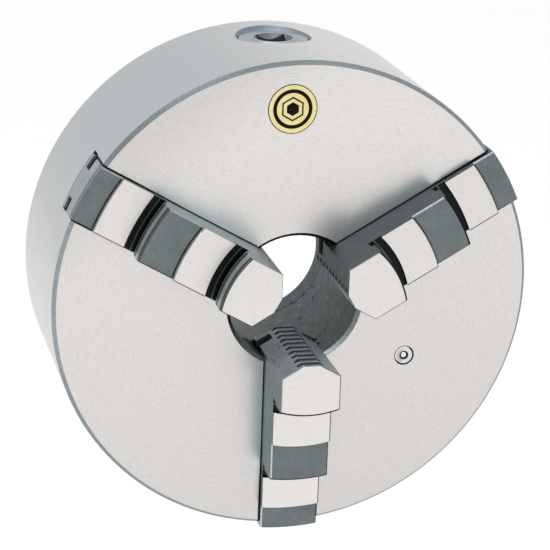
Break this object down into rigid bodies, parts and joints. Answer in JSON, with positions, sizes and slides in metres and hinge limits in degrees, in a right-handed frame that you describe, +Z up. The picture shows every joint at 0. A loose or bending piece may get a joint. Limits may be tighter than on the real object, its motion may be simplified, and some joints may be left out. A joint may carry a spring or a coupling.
{
  "type": "lathe chuck",
  "caption": "Self-centring scroll chuck: round steel body, stepped jaws in T-slots driven by a spiral scroll, square key sockets round the rim, through bore.",
  "frame": {"origin": "centre of the rear register's mouth, where the spindle axis meets the rear mounting face", "axes": "+Y along the spindle axis towards the machine, so the jaws face -Y; +Z up through the first key socket; +X to the right seen from the jaws"},
  "size_m": [0.2, 0.105, 0.201],
  "materials": {
    "ground_steel": "fine ground",
    "turned_steel": "fine turned",
    "hardened_steel": "hardened, satin",
    "jaw_steel": "hardened, ground tops, matte sides",
    "bright_steel": "polished",
    "zinc_plate": "satin plate",
    "black_screws": "black oxide",
    "badge_brass": "pale satin brass with black enamel"
  },
  "bodies": {
    "chuck_body": {"body": "ground_steel", "rear_cover": "turned_steel", "cover_screws": "black_screws", "cover_dowels": "ground_steel", "pinion_retaining_screws": "black_screws", "oiler_cup": "zinc_plate", "oiler_spring": "bright_steel", "badge_plate": "badge_brass"},
    "scroll": {"scroll_plate": "hardened_steel"},
    "jaw_1": {"jaw_1": "jaw_steel"},
    "jaw_2": {"jaw_2": "jaw_steel"},
    "jaw_3": {"jaw_3": "jaw_steel"},
    "pinion_1": {"pinion_1": "hardened_steel"},
    "pinion_2": {"pinion_2": "hardened_steel"},
    "pinion_3": {"pinion_3": "hardened_steel"},
    "oil_ball": {"oiler_ball": "bright_steel"}
  },
  "joints": [
    {"name": "scroll_turn", "type": "hinge", "parent": "chuck_body", "child": "scroll", "pos_m": [0, 0, 0], "axis": [0, 1, 0], "range_deg": [-608, 1200]},
    {"name": "jaw_1_slide", "type": "slide", "parent": "chuck_body", "child": "jaw_1", "axis": [0.866, 0, 0.5], "range_m": [-0.0153, 0.0301]},
    {"name": "jaw_2_slide", "type": "slide", "parent": "chuck_body", "child": "jaw_2", "axis": [-0.866, 0, 0.5], "range_m": [-0.0153, 0.0301]},
    {"name": "jaw_3_slide", "type": "slide", "parent": "chuck_body", "child": "jaw_3", "axis": [0, 0, -1], "range_m": [-0.0153, 0.0301]},
    {"name": "pinion_1_turn", "type": "hinge", "parent": "chuck_body", "child": "pinion_1", "pos_m": [0, -0.027, 0], "axis": [0, 0, 1], "range_deg": [-3805, 7505]},
    {"name": "pinion_2_turn", "type": "hinge", "parent": "chuck_body", "child": "pinion_2", "pos_m": [0, -0.027, 0], "axis": [-0.866, 0, -0.5], "range_deg": [-3805, 7505]},
    {"name": "pinion_3_turn", "type": "hinge", "parent": "chuck_body", "child": "pinion_3", "pos_m": [0, -0.027, 0], "axis": [0.866, 0, -0.5], "range_deg": [-3805, 7505]},
    {"name": "oil_ball_press", "type": "slide", "parent": "chuck_body", "child": "oil_ball", "axis": [0, 1, 0], "range_m": [0, 0.001], "stiffness_N_per_m": 800, "springref_m": -0.0005, "deforming": ["oiler_spring"]}
  ],
  "couplings": [
    {"joint": "jaw_1_slide", "follows": "scroll_turn", "m_per_rad": 0.0014324},
    {"joint": "jaw_2_slide", "follows": "scroll_turn", "m_per_rad": 0.0014324},
    {"joint": "jaw_3_slide", "follows": "scroll_turn", "m_per_rad": 0.0014324},
    {"joint": "pinion_1_turn", "follows": "scroll_turn", "ratio": 6.25},
    {"joint": "pinion_2_turn", "follows": "scroll_turn", "ratio": 6.25},
    {"joint": "pinion_3_turn", "follows": "scroll_turn", "ratio": 6.25}
  ]
}
